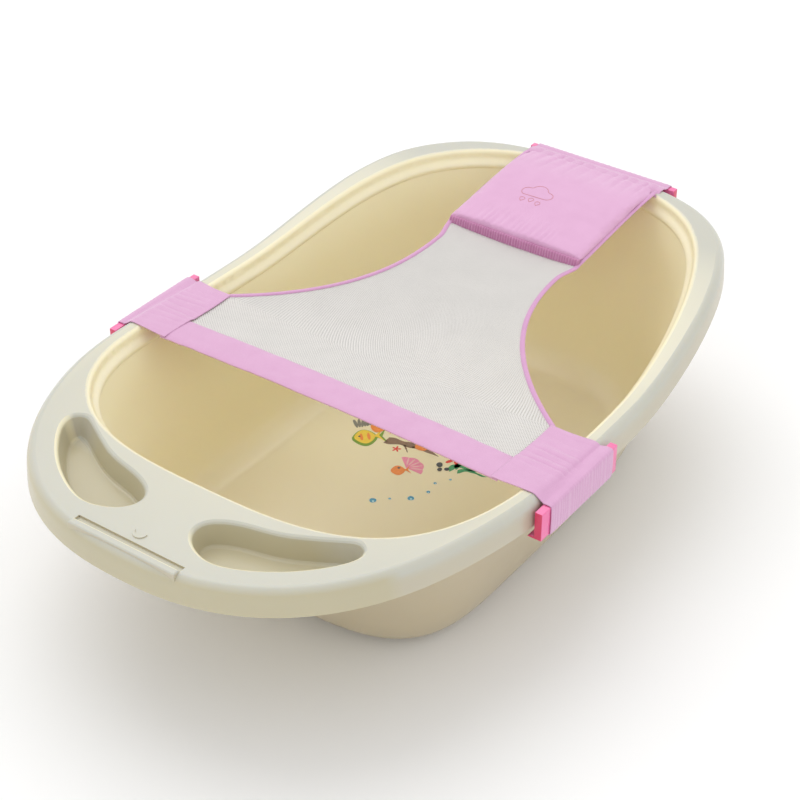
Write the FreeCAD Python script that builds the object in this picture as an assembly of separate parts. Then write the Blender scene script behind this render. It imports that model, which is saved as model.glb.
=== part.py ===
"""Baby bathtub with a hammock net.

A thin moulded tub carries a deck with two soap trays at its foot end. A fabric net lies across
the opening, held by two side clips and one head clip that hook under the rim's skirt.
Frame: X runs from the foot end to the head end, Y to the tub's left side, Z up from the ground,
with the origin at the centre of the bounding box's bottom. All sizes are in millimetres.
"""
import math
import os

import FreeCAD
import Part
from FreeCAD import Vector

os.makedirs("parts", exist_ok=True)

# Tub, driving dimensions
WALL = 2.8                # moulded wall thickness
RIM_HEIGHT = 202.0        # ground to the top of the rim and deck at the foot end
MID_DIP = 12.0            # how far the rim dips beside the hips
DIP_X = (-230.0, 0.0)     # where the dip begins and is complete
HEAD_RISE = 27.0          # how far the rim behind the head stands above the foot deck
RISE_X = (50.0, 330.0)    # where the rise begins and is complete
SKIRT_DEPTH = 28.0        # rim top to the skirt's lower edge
SKIRT_FLARE = 1.0         # how far the skirt's lower edge stands out
EDGE_RUN = 9.5            # outer rounding of the rim, horizontal and vertical
EDGE_DROP = 14.0
CUT_THROUGH = 1.0         # how far a cutting tool reaches past the face it cuts
LIP_RADIUS = 5.0          # inner rounding of the rim
BAND_RUN = 6.0            # sloping band under the inner rounding
BAND_DROP = 20.0
PAD_HEIGHT = 1.2          # how far the pads lift the shell off the ground
FLOOR_RADIUS = 26.0       # rounding between floor and wall
FLOOR_TOP = PAD_HEIGHT + WALL
BAND_TOP = RIM_HEIGHT - BAND_DROP
WALL_RISE = BAND_TOP - FLOOR_TOP      # basin wall, floor to band
CENTRE_SHIFT = -4.8       # centres the bounding box, clip included, on X = 0

# Ovals: foot end x, head end x, x of the widest place, half width, foot power, head power
RIM_OVAL = (-410.5, 411.0, -71.5, 257.2, 2.38, 3.38)
OPENING_OVAL = (-290.0, 393.0, -64.0, 235.0, 3.0, 2.9)
FLOOR_OVAL = (-206.0, 318.0, -50.0, 180.0, 3.8, 3.4)

# Deck at the foot end
TRAY_DEPTH = 25.0
TRAY_LIP = 5.0            # rounding of a tray's upper edge
TRAY_EDGE = 1.2           # how far the wall stands inside the outline under that rounding
TRAY_DRAFT = 5.0          # how far the wall leans in over the tray's depth
TRAY_CORNER = 4.0         # rounding between a tray's wall and floor
TRAY_OUTLINE = [(-273, 168), (-284, 177), (-304, 170), (-331, 147), (-352, 120), (-366, 92),
                (-369, 67), (-358, 43), (-341, 34), (-325, 41), (-313, 65), (-305, 98),
                (-292, 127), (-279, 150)]
BAR_X = (-404.0, -396.5)
BAR_HALF_LENGTH = 63.0
BAR_RISE = 2.4
BAR_ROUND = 1.8
GROOVE_X = (-396.5, -389.0)
GROOVE_DEPTH = 2.4
TROUGH_OVERLAP = 1.0      # how far the groove's own wall runs into the deck above
LUG_X = -377.0            # small moulded crescent behind the grip bar
LUG_RADIUS = 7.0
LUG_WIDTH = 3.0
LUG_RISE = 1.2
LUG_ROOT = 1.0            # how deep the lug sits in the deck

# Drain
DRAIN_X = -150.0
DRAIN_HOLE_RADIUS = 19.0
SEAT_FLANGE_RADIUS = 24.0
SEAT_FLANGE = 1.6
SEAT_BORE_RADIUS = 15.0
PLUG_GAP = 0.15
PLUG_TOP_RADIUS = 18.0
PLUG_TOP = 3.0
PLUG_LIFT = 0.4           # plug's lower face above the tub's underside
PLUG_TAPER = 0.6
TAB_LENGTH, TAB_WIDTH, TAB_HEIGHT = 18.0, 4.0, 12.0
TAB_ROOT = 0.5            # how deep the tab sits in the plug's cap
TAB_ROUND = 1.5

# Pads under the base
PAD_RADIUS = 18.0
PAD_RECESS = 1.0
PAD_CHAMFER = 0.5
TINY = 0.01               # tells coordinates apart when edges are picked
PAD_PLACES = {"pad_foot_left": (-130.0, 105.0), "pad_foot_right": (-130.0, -105.0),
              "pad_head_left": (225.0, 100.0), "pad_head_right": (225.0, -100.0)}

# Clips: straight bars with a flange at the top and a barbed lip below
CLIP_THICK = 8.0
CLIP_DROP = 3.5           # rim top to the clip's top
CLIP_SIDE_X = (-131.0, 3.0)
CLIP_HEAD_HALF = 96.0
CLIP_GAP = 1.2            # between the skirt and the clip
LIP_REACH = 7.0
LIP_THICK = 2.5
LIP_GAP = 4.0             # below the skirt's lower edge, half way along the clip
BARB_RISE = 4.0
BARB_RUN = 3.0
BARB_EDGE = 0.8           # height of the barb's blunt tip
HEAD_CLIP_INSET = 1.0     # the head clip sits this much closer to the skirt
SLEEVE = 0.8              # fabric thickness around a clip
SLEEVE_CLEAR = 0.15
SLEEVE_FOLD = 0.2         # where the fabric starts, out from the fold line
SLEEVE_WRAP = 0.6         # share of the lip that the fabric covers from below
SLEEVE_ENDS = (14.0, 10.0)     # bare clip at the foot and head ends of each side clip
SLEEVE_HEAD_END = 5.0     # bare clip at both ends of the head clip

# Net
CLOTH = 1.6               # two layers and the seam allowance
CLOTH_GAP = 0.4           # above the rim
HEM_X = (-118.0, -78.0)
SEAM_Y = 206.0
BAND_X = (-118.0, -12.0)
BAND_BELLY = 0.6          # how far the side band bulges between its seam and the rim
BAND_LANDS = 3.0          # where it meets the rim, out from the opening
NET_SEAM_X = 228.0
NET_HALF_WIDTHS = [(-76, 203), (-12, 204), (12, 170), (42, 138), (80, 110), (120, 90),
                   (160, 78), (200, 76), (226, 83)]
NET_THICK = 1.2
NET_SAG = 12.0            # middle of the net below its side edges
HEM_SAG = 8.0
SAG_GROWS_X = (-80.0, 30.0)
SAG_ENDS_X = (60.0, 230.0)
SAG_TAKEN_UP = 0.75       # share of the sag that is gone at the pillow
NET_DROP = 3.0            # the side edges sink this much behind the hem
NET_DROP_X = (-118.0, -20.0)
NET_CLIMB_X = (-60.0, 260.0)     # where the net climbs towards the head
NET_BELOW_HEAD = 14.0     # how far it then still lies below the rim's top at the head
HEAD_TOP_X = 400.0        # where the rim's top at the head is measured
BINDING_RADIUS = 2.2
BINDING_CLEAR = 0.4       # between the mesh and its binding
BINDING_START = (1.0, 2.6)     # the binding's first point: further to the foot, closer in
HEM_CLEAR = 0.6           # between the hem's ends and the side bands
HEM_OVERLAP = 1.4         # how far the hem lies over the mesh

# Pillow
PILLOW_HALF_WIDTH = 86.0
PILLOW_X = (231.4, 391.0)
PILLOW_SKIN = 1.0
PILLOW_PUFF = 9.0
PILLOW_EDGE = 2.6         # thickness at its ends
PILLOW_FULLNESS = 0.6     # below 1 the puff rises faster from the ends
PILLOW_CROWN = 0.5        # share of the thickness that is rounded off at the sides
PILLOW_BELOW_NET = 1.0    # its underside below the net's edge at the seam
PILLOW_EASE = 60.0        # how far before the pillow its rise towards the rim begins
PILLOW_STATIONS = 9
PILLOW_END_SHARE = 0.04   # share of the puff's arch left out at each end
SEAM_SHORTER = 2.0        # the gathered seam ends this far inside the pillow's sides
FOAM_CLEAR = 0.2
SEAM_RADIUS = 3.0
HEAD_BAND_X = (391.4, 410.6)   # flat fabric from the pillow over the rim


def smoothstep(value, start, end):
    """Return 0 before start, 1 after end and a smooth rise between."""
    t = min(max((value - start) / (end - start), 0.0), 1.0)
    return t * t * (3.0 - 2.0 * t)


def rim_z(x):
    """Return the height of the rim's top above the ground at x."""
    dip = MID_DIP * smoothstep(x, *DIP_X)
    rise = (MID_DIP + HEAD_RISE) * smoothstep(x, *RISE_X)
    return RIM_HEIGHT - dip + rise


def offset_oval(oval, distance):
    """Return an oval grown outwards by a distance."""
    foot, head, middle, half, foot_power, head_power = oval
    return (foot - distance, head + distance, middle, half + distance, foot_power, head_power)


def blend_ovals(low, high, share):
    """Return an oval a share of the way from one oval to another."""
    return tuple(a + (b - a) * share for a, b in zip(low, high))


def oval_quarter(oval, foot_side, count):
    """Return points of a quarter oval at equal steps, from the widest place to the end."""
    foot, head, middle, half, foot_power, head_power = oval
    power = foot_power if foot_side else head_power
    reach = foot - middle if foot_side else head - middle
    fine = []
    for step in range(401):
        angle = math.pi / 2 * (1 - step / 400)
        size = (math.cos(angle) ** power + math.sin(angle) ** power) ** (1 / power)
        fine.append((middle + reach * math.cos(angle) / size, half * math.sin(angle) / size))
    lengths = [0.0]
    for a, b in zip(fine, fine[1:]):
        lengths.append(lengths[-1] + math.hypot(b[0] - a[0], b[1] - a[1]))
    points = []
    index = 0
    for step in range(count):
        target = lengths[-1] * step / count
        while lengths[index] < target:
            index += 1
        points.append(fine[index])
    points.append(fine[-1])
    return points


def oval_points(oval):
    """Return the oval's points anticlockwise from the head end's tip."""
    head = oval_quarter(oval, False, 16)
    foot = oval_quarter(oval, True, 12)
    left = head[::-1] + foot[1:]
    right = [(x, -y) for x, y in left[-2:0:-1]]
    return left + right


def closed_curve(points):
    """Return a closed smooth wire through the points, in two halves with even parameters."""
    curve = Part.BSplineCurve()
    steps = [i / len(points) for i in range(len(points) + 1)]
    curve.interpolate(Points=points, PeriodicFlag=True, Parameters=steps)
    return Part.Wire([curve.toShape(0.0, 0.5), curve.toShape(0.5, 1.0)])


def rim_ring(oval, distance, drop):
    """Return a ring around the rim, a drop below the rim's top."""
    grown = offset_oval(oval, distance)
    return closed_curve([Vector(x, y, rim_z(x) - drop) for x, y in oval_points(grown)])


def wall_ring(rise, distance):
    """Return a ring of the basin wall, a rise above the floor, offset outwards."""
    top = offset_oval(OPENING_OVAL, -BAND_RUN)
    share = rise / WALL_RISE
    oval = offset_oval(blend_ovals(FLOOR_OVAL, top, share), distance)
    points = []
    for x, y in oval_points(oval):
        lift = (rim_z(x) - RIM_HEIGHT) * share ** 2
        points.append(Vector(x, y, FLOOR_TOP + rise + lift))
    return closed_curve(points)


def corner_ring(angle, thickness):
    """Return a ring on the rounding between floor and wall, thickness below it."""
    radius = FLOOR_RADIUS + thickness
    distance = -FLOOR_RADIUS + radius * math.sin(angle)
    height = FLOOR_TOP + FLOOR_RADIUS - radius * math.cos(angle)
    share = max(height - FLOOR_TOP, 0.0) / WALL_RISE
    top = offset_oval(OPENING_OVAL, -BAND_RUN)
    oval = offset_oval(blend_ovals(FLOOR_OVAL, top, share), distance)
    return closed_curve([Vector(x, y, height) for x, y in oval_points(oval)])


def basin_rings(thickness):
    """Return the rings from the floor's flat edge up to the band."""
    rings = [corner_ring(math.radians(a), thickness) for a in (0, 22, 45, 68, 90)]
    for share in (0.35, 0.6, 0.82, 1.0):
        rings.append(wall_ring(WALL_RISE * share, thickness))
    return rings


def lip_rings(thickness):
    """Return the rings from the band up over the inner rounding."""
    run = LIP_RADIUS - thickness
    rings = [rim_ring(OPENING_OVAL, -BAND_RUN + thickness, BAND_DROP)]
    rings.append(rim_ring(OPENING_OVAL, -BAND_RUN * 0.4 + thickness, 0.6 * LIP_RADIUS + 0.4 * BAND_DROP))
    for degrees in (90, 65, 40, 18, 0):
        angle = math.radians(degrees)
        out = LIP_RADIUS - run * math.sin(angle)
        rings.append(rim_ring(OPENING_OVAL, out, LIP_RADIUS - run * math.cos(angle)))
    return rings


def edge_rings(thickness):
    """Return the rings over the outer rounding and down the skirt."""
    rings = []
    for degrees in (0, 20, 40, 62, 90):
        angle = math.radians(degrees)
        out = -EDGE_RUN + (EDGE_RUN - thickness) * math.sin(angle)
        drop = EDGE_DROP - (EDGE_DROP - thickness) * math.cos(angle)
        rings.append(rim_ring(RIM_OVAL, out, drop))
    rings.append(rim_ring(RIM_OVAL, SKIRT_FLARE * 0.4 - thickness, SKIRT_DEPTH * 0.7))
    rings.append(rim_ring(RIM_OVAL, SKIRT_FLARE - thickness, SKIRT_DEPTH))
    return rings


def skin(rings, ruled=False):
    """Return the faces of a surface through the rings."""
    return Part.makeLoft(rings, False, ruled, False, 3).Faces


def side_faces(thickness):
    """Return one side of the moulding: basin, inner rounding, rim top and skirt."""
    basin = basin_rings(thickness)
    lip = lip_rings(thickness)
    edge = edge_rings(thickness)
    basin[-1] = lip[0]
    faces = skin(basin) + skin(lip) + skin([lip[-1], edge[0]], True) + skin(edge)
    faces.append(Part.Face(basin[0]))
    return faces, edge[-1]


def make_tub_body():
    """Return the moulded tub before the deck's details."""
    top, top_edge = side_faces(0.0)
    under, under_edge = side_faces(WALL)
    closing = skin([top_edge, under_edge], True)
    shell = Part.makeShell(top + under + closing)
    shell.sewShape()
    body = Part.makeSolid(shell)
    if body.Volume < 0:
        body.reverse()
    return body


def grow_outline(points, distance):
    """Return a closed outline moved outwards by a distance at each point."""
    grown = []
    count = len(points)
    turn = sum(a[0] * b[1] - b[0] * a[1] for a, b in zip(points, points[1:] + points[:1]))
    sign = 1.0 if turn > 0 else -1.0
    for i, (x, y) in enumerate(points):
        before, after = points[i - 1], points[(i + 1) % count]
        dx, dy = after[0] - before[0], after[1] - before[1]
        size = math.hypot(dx, dy)
        grown.append((x + sign * distance * dy / size, y - sign * distance * dx / size))
    return grown


def tray_ring(side, distance, drop):
    """Return a tray outline on one side, grown and dropped below the deck."""
    points = [(x, side * y) for x, y in grow_outline(TRAY_OUTLINE, distance)]
    return closed_curve([Vector(x, y, RIM_HEIGHT - drop) for x, y in points])


def tray_hollow(side):
    """Return the solid that a tray takes out of the deck: flare, wall and rounded floor edge."""
    rings = [tray_ring(side, TRAY_LIP + CUT_THROUGH - TRAY_EDGE, -CUT_THROUGH)]
    for degrees in (20, 42, 66, 90):
        angle = math.radians(degrees)
        out = TRAY_LIP * (1 - math.sin(angle)) - TRAY_EDGE
        rings.append(tray_ring(side, out, TRAY_LIP * (1 - math.cos(angle))))
    for degrees in (0, 30, 60, 90):
        angle = math.radians(degrees)
        inset = TRAY_DRAFT + TRAY_CORNER * (1 - math.cos(angle))
        drop = TRAY_DEPTH - TRAY_CORNER * (1 - math.sin(angle))
        rings.append(tray_ring(side, -inset, drop))
    return Part.makeLoft(rings, True, True)


def tray_shell(side):
    """Return the solid that surrounds a tray's hollow, one wall thicker and below the deck."""
    corner = TRAY_DEPTH - TRAY_CORNER
    rings = [tray_ring(side, WALL - TRAY_EDGE, WALL * 0.5), tray_ring(side, WALL - TRAY_DRAFT, corner),
             tray_ring(side, WALL - TRAY_DRAFT - TRAY_CORNER * 0.5, TRAY_DEPTH + WALL)]
    return Part.makeLoft(rings, True, True)


def add_trays(body):
    """Return the tub with its two soap trays."""
    for side in (1, -1):
        body = body.fuse(tray_shell(side))
    for side in (1, -1):
        body = body.cut(tray_hollow(side))
    return body


def add_grip_bar(body):
    """Return the tub with the grip bar, its groove and the small crescent lug."""
    bar = Part.makeBox(BAR_X[1] - BAR_X[0], 2 * BAR_HALF_LENGTH, EDGE_DROP + BAR_RISE,
                       Vector(BAR_X[0], -BAR_HALF_LENGTH, RIM_HEIGHT - EDGE_DROP))
    upper = [e for e in bar.Edges if e.BoundBox.ZMin > RIM_HEIGHT]
    bar = bar.makeFillet(BAR_ROUND, upper)
    groove_width = GROOVE_X[1] - GROOVE_X[0]
    trough = Part.makeBox(groove_width + WALL, 2 * (BAR_HALF_LENGTH + WALL), WALL + TROUGH_OVERLAP,
                          Vector(GROOVE_X[0], -BAR_HALF_LENGTH - WALL, RIM_HEIGHT - GROOVE_DEPTH - WALL))
    body = body.fuse([bar, trough])
    groove = Part.makeBox(groove_width, 2 * BAR_HALF_LENGTH, GROOVE_DEPTH + CUT_THROUGH,
                          Vector(GROOVE_X[0], -BAR_HALF_LENGTH, RIM_HEIGHT - GROOVE_DEPTH))
    body = body.cut(groove)
    low = RIM_HEIGHT - LUG_ROOT
    disc = Part.makeCylinder(LUG_RADIUS, LUG_RISE + LUG_ROOT, Vector(LUG_X, 0, low))
    bite = Part.makeCylinder(LUG_RADIUS, LUG_RISE + LUG_ROOT + 2 * CUT_THROUGH,
                             Vector(LUG_X + LUG_WIDTH, 0, low - CUT_THROUGH))
    return body.fuse(disc.cut(bite))


def cut_base(body):
    """Return the tub with its drain hole and the pads' recesses."""
    below = Vector(DRAIN_X, 0, -CUT_THROUGH)
    hole = Part.makeCylinder(DRAIN_HOLE_RADIUS, FLOOR_TOP + 2 * CUT_THROUGH, below)
    body = body.cut(hole)
    for x, y in PAD_PLACES.values():
        below = Vector(x, y, PAD_HEIGHT - CUT_THROUGH)
        recess = Part.makeCylinder(PAD_RADIUS, PAD_RECESS + CUT_THROUGH, below)
        body = body.cut(recess)
    return body


def make_tub():
    """Return the finished tub moulding."""
    return cut_base(add_grip_bar(add_trays(make_tub_body())))


def make_pad(x, y):
    """Return one rubber pad, seated in its recess."""
    pad = Part.makeCylinder(PAD_RADIUS, PAD_HEIGHT + PAD_RECESS, Vector(x, y, 0))
    lower = [e for e in pad.Edges if e.BoundBox.ZMax < TINY]
    return pad.makeChamfer(PAD_CHAMFER, lower)


def make_drain_seat():
    """Return the ring that lines the drain hole."""
    flange = Part.makeCylinder(SEAT_FLANGE_RADIUS, SEAT_FLANGE, Vector(DRAIN_X, 0, FLOOR_TOP))
    neck = Part.makeCylinder(DRAIN_HOLE_RADIUS, WALL, Vector(DRAIN_X, 0, PAD_HEIGHT))
    bore = Part.makeCylinder(SEAT_BORE_RADIUS, FLOOR_TOP + SEAT_FLANGE + CUT_THROUGH, Vector(DRAIN_X, 0, 0))
    return flange.fuse(neck).cut(bore).removeSplitter()


def make_drain_plug():
    """Return the rubber plug with its pull tab."""
    low = PAD_HEIGHT + PLUG_LIFT
    top = FLOOR_TOP + SEAT_FLANGE
    plug_radius = SEAT_BORE_RADIUS - PLUG_GAP
    stem = Part.makeCone(plug_radius - PLUG_TAPER, plug_radius, top - low, Vector(DRAIN_X, 0, low))
    cap = Part.makeCylinder(PLUG_TOP_RADIUS, PLUG_TOP, Vector(DRAIN_X, 0, top))
    tab = Part.makeBox(TAB_LENGTH, TAB_WIDTH, TAB_HEIGHT,
                       Vector(DRAIN_X - TAB_LENGTH / 2, -TAB_WIDTH / 2, top + PLUG_TOP - TAB_ROOT))
    upper = [e for e in tab.Edges if e.BoundBox.ZMin > top + PLUG_TOP and e.BoundBox.XLength < TINY]
    tab = tab.makeFillet(TAB_ROUND, upper)
    return stem.fuse([cap, tab]).removeSplitter()


def extrude_profile(points, along, start, length):
    """Return a prism: profile points (out, up) pushed along an axis frame."""
    origin, out_axis, run_axis = along
    corners = [origin + out_axis * u + Vector(0, 0, v) + run_axis * start for u, v in points]
    face = Part.Face(Part.makePolygon(corners + corners[:1]))
    return face.extrude(run_axis * length)


def clip_frame(name):
    """Return a clip's fold line: a point, the outward axis and the axis along the clip."""
    if name == "head":
        out = RIM_OVAL[1] + SKIRT_FLARE + CLIP_GAP - HEAD_CLIP_INSET
        return (Vector(out, 0, rim_z(RIM_OVAL[1]) - CLIP_DROP), Vector(1, 0, 0), Vector(0, 1, 0))
    side = 1 if name == "left" else -1
    middle = sum(CLIP_SIDE_X) / 2
    out = side * (RIM_OVAL[3] + SKIRT_FLARE + CLIP_GAP)
    return (Vector(middle, out, rim_z(middle) - CLIP_DROP), Vector(0, side, 0), Vector(1, 0, 0))


def clip_profile():
    """Return the clip's section (out, up) from its fold line."""
    lip_top = -(SKIRT_DEPTH - CLIP_DROP + LIP_GAP)
    bottom = lip_top - LIP_THICK
    return [(0, 0), (CLIP_THICK, 0), (CLIP_THICK, bottom), (-LIP_REACH, bottom),
            (-LIP_REACH, bottom + BARB_EDGE), (-LIP_REACH + BARB_RUN, lip_top),
            (-CLIP_GAP / 2, lip_top), (0, lip_top + BARB_RISE / 2)]


def make_clip(name):
    """Return one clip."""
    half = CLIP_HEAD_HALF if name == "head" else (CLIP_SIDE_X[1] - CLIP_SIDE_X[0]) / 2
    return extrude_profile(clip_profile(), clip_frame(name), -half, 2 * half)


def make_sleeve(name):
    """Return the fabric sleeve around a clip's top, outside and bottom."""
    if name == "head":
        half, ends = CLIP_HEAD_HALF, (SLEEVE_HEAD_END, SLEEVE_HEAD_END)
    else:
        half, ends = (CLIP_SIDE_X[1] - CLIP_SIDE_X[0]) / 2, SLEEVE_ENDS
    start = ends[0] - half
    length = half - ends[1] - start
    bottom = min(v for u, v in clip_profile())
    inner, outer = SLEEVE_CLEAR, SLEEVE_CLEAR + SLEEVE
    lip = -LIP_REACH * SLEEVE_WRAP
    profile = [(SLEEVE_FOLD, inner), (CLIP_THICK + inner, inner), (CLIP_THICK + inner, bottom - inner),
               (lip, bottom - inner), (lip, bottom - outer),
               (CLIP_THICK + outer, bottom - outer), (CLIP_THICK + outer, outer), (SLEEVE_FOLD, outer)]
    return extrude_profile(profile, clip_frame(name), start, length)


def net_base_z(x):
    """Return the height of the net's side edges at x."""
    level = rim_z(sum(CLIP_SIDE_X) / 2) + CLOTH_GAP
    climb = rim_z(HEAD_TOP_X) - NET_BELOW_HEAD - level
    return level - NET_DROP * smoothstep(x, *NET_DROP_X) + climb * smoothstep(x, *NET_CLIMB_X)


def net_sag(x, share):
    """Return how far the net hangs below its edge at x, for a share of the half width."""
    depth = HEM_SAG + (NET_SAG - HEM_SAG) * smoothstep(x, *SAG_GROWS_X)
    depth -= NET_SAG * SAG_TAKEN_UP * smoothstep(x, *SAG_ENDS_X)
    return depth * (1.0 - share * share)


def strip_section(x, half, low_z, high_z):
    """Return a closed section across the net at x between two height functions."""
    shares = [-1.0, -0.6, -0.2, 0.2, 0.6, 1.0]
    under = [Vector(x, half * s, low_z(s)) for s in shares]
    over = [Vector(x, half * s, high_z(s)) for s in reversed(shares)]
    lower = Part.BSplineCurve()
    lower.interpolate(under)
    upper = Part.BSplineCurve()
    upper.interpolate(over)
    edges = [lower.toShape(), Part.makeLine(under[-1], over[0]),
             upper.toShape(), Part.makeLine(over[-1], under[0])]
    return Part.Wire(edges)


def sheet_section(x, half, thick):
    """Return the section of a sheet that follows the net's sag."""
    def low(share):
        return net_base_z(x) - net_sag(x, share)

    def high(share):
        return low(share) + thick

    return strip_section(x, half, low, high)


def make_net():
    """Return the mesh panel as one thin closed solid."""
    sections = [sheet_section(x, w - BINDING_RADIUS - BINDING_CLEAR, NET_THICK) for x, w in NET_HALF_WIDTHS]
    return Part.makeLoft(sections, True, True)


def make_hem():
    """Return the fabric band across the net's front edge."""
    ends = (HEM_X[0], HEM_X[1] + HEM_OVERLAP)
    sections = [sheet_section(x, SEAM_Y - HEM_CLEAR, CLOTH) for x in ends]
    return Part.makeLoft(sections, True, True)


def make_binding(side):
    """Return the rounded binding along one curved edge of the net."""
    widths = NET_HALF_WIDTHS[1:]
    points = [Vector(x, side * w, net_base_z(x) + NET_THICK / 2) for x, w in widths]
    back, closer = BINDING_START
    points[0] = Vector(widths[0][0] - back, side * (widths[0][1] - closer), points[0].z)
    curve = Part.BSplineCurve()
    curve.interpolate(points)
    path = Part.Wire([curve.toShape()])
    start = curve.parameter(points[0])
    profile = Part.Circle(points[0], curve.tangent(start)[0], BINDING_RADIUS).toShape()
    return path.makePipeShell([Part.Wire([profile])], True, True)


def rim_half_width(oval, x):
    """Return half the width of an oval at x."""
    foot, head, middle, half, foot_power, head_power = oval
    power = foot_power if x < middle else head_power
    reach = (middle - foot) if x < middle else (head - middle)
    return half * (1 - (abs(x - middle) / reach) ** power) ** (1 / power)


def over_rim_path(x, lift):
    """Return points (out, up) from the seam over the rim to the clip's fold line."""
    inner = rim_half_width(OPENING_OVAL, x)
    outer = rim_half_width(RIM_OVAL, x)
    top = rim_z(x) + CLOTH_GAP + lift
    seam = net_base_z(x) + lift
    run = EDGE_RUN + CLOTH_GAP + lift
    drop = EDGE_DROP + CLOTH_GAP + lift
    belly = ((SEAM_Y + inner) / 2, (seam + top) / 2 + BAND_BELLY)
    path = [(SEAM_Y, seam), belly, (inner + BAND_LANDS, top)]
    for degrees in (5, 25, 45):
        angle = math.radians(degrees)
        path.append((outer - EDGE_RUN + run * math.sin(angle),
                     rim_z(x) - EDGE_DROP + drop * math.cos(angle)))
    return path


def band_section(side, x, lift):
    """Return the closed section of a side band at x."""
    low = [Vector(x, side * u, v) for u, v in over_rim_path(x, 0.0)]
    high = [Vector(x, side * u, v) for u, v in reversed(over_rim_path(x, lift))]
    lower = Part.BSplineCurve()
    lower.interpolate(low)
    upper = Part.BSplineCurve()
    upper.interpolate(high)
    return Part.Wire([lower.toShape(), Part.makeLine(low[-1], high[0]),
                      upper.toShape(), Part.makeLine(high[-1], low[0])])


def make_side_band(side):
    """Return the fabric band that carries the net over one side of the rim."""
    stations = [BAND_X[0] + (BAND_X[1] - BAND_X[0]) * step / 4 for step in range(5)]
    sections = [band_section(side, x, CLOTH) for x in stations]
    return Part.makeLoft(sections, True, False)


def pillow_low_z(x):
    """Return the height of the pillow's underside at x."""
    start = net_base_z(NET_SEAM_X) - PILLOW_BELOW_NET
    end = rim_z(HEAD_TOP_X) + CLOTH_GAP
    return start + (end - start) * smoothstep(x, PILLOW_X[0] - PILLOW_EASE, HEAD_BAND_X[0])


def pillow_section(x, share, inset):
    """Return the pillow's section at x, for a share of its length."""
    low = pillow_low_z(x) + inset
    puff = PILLOW_PUFF * math.sin(math.pi * share) ** PILLOW_FULLNESS
    high = pillow_low_z(x) + PILLOW_EDGE + puff - inset
    crown = (high - low) * PILLOW_CROWN
    half = PILLOW_HALF_WIDTH - inset
    return strip_section(x, half, lambda s: low, lambda s: high - crown * s ** 4)


def make_pillow(inset):
    """Return the pillow's closed form, inset from its outside."""
    start, end = PILLOW_X[0] + inset, PILLOW_X[1] - inset
    sections = []
    for step in range(PILLOW_STATIONS):
        along = step / (PILLOW_STATIONS - 1)
        share = PILLOW_END_SHARE + (1 - 2 * PILLOW_END_SHARE) * along
        sections.append(pillow_section(start + (end - start) * along, share, inset))
    return Part.makeLoft(sections, True, True)


def make_pillow_seam():
    """Return the gathered seam between the pillow and the mesh."""
    z = net_base_z(NET_SEAM_X) + NET_THICK / 2
    half = PILLOW_HALF_WIDTH - SEAM_SHORTER
    return Part.makeCylinder(SEAM_RADIUS, 2 * half, Vector(NET_SEAM_X, -half, z), Vector(0, 1, 0))


def make_head_band():
    """Return the flat fabric from the pillow to the head clip's fold."""
    length = HEAD_BAND_X[1] - HEAD_BAND_X[0]
    corner = Vector(HEAD_BAND_X[0], -PILLOW_HALF_WIDTH, rim_z(RIM_OVAL[1]) + CLOTH_GAP)
    return Part.makeBox(length, 2 * PILLOW_HALF_WIDTH, CLOTH, corner)


def save(name, shape):
    """Move a shape so that the bounding box is centred, and write it."""
    solid = shape if shape.ShapeType == "Solid" else shape.Solids[0]
    solid.translate(Vector(CENTRE_SHIFT, 0, 0))
    print(name, "solids", len(shape.Solids), "valid", solid.isValid(), "volume", round(solid.Volume))
    solid.exportStep("parts/%s.step" % name)
    return solid


def main():
    """Build and write every sub-part."""
    shapes = {"tub_shell": make_tub(), "drain_seat": make_drain_seat(), "drain_plug": make_drain_plug()}
    for name, (x, y) in PAD_PLACES.items():
        shapes[name] = make_pad(x, y)
    for name in ("left", "right", "head"):
        shapes["clip_" + name] = make_clip(name)
        shapes["clip_sleeve_" + name] = make_sleeve(name)
    shapes["net_mesh"] = make_net()
    shapes["hem_band"] = make_hem()
    for name, side in (("left", 1), ("right", -1)):
        shapes["side_band_" + name] = make_side_band(side)
        shapes["binding_" + name] = make_binding(side)
    shapes["pillow_cover"] = make_pillow(0.0).cut(make_pillow(PILLOW_SKIN))
    shapes["pillow_foam"] = make_pillow(PILLOW_SKIN + FOAM_CLEAR)
    shapes["pillow_seam"] = make_pillow_seam()
    shapes["head_band"] = make_head_band()
    saved = [save(name, shape) for name, shape in shapes.items()]
    print("box", Part.makeCompound(saved).optimalBoundingBox(False, False))


main()
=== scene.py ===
"""Looks of the baby bathtub: moulded tub, hammock net with its pink bands, clips and head pad.

Lengths below are in millimetres, X from the foot end to the head end, in the design's own frame.
SHIFT moves them into the row frame, and they are turned into metres where a mesh is made.
"""

import math

import bmesh
import bpy
import numpy as np
from mathutils import Matrix, Vector, bvhtree, noise


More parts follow.
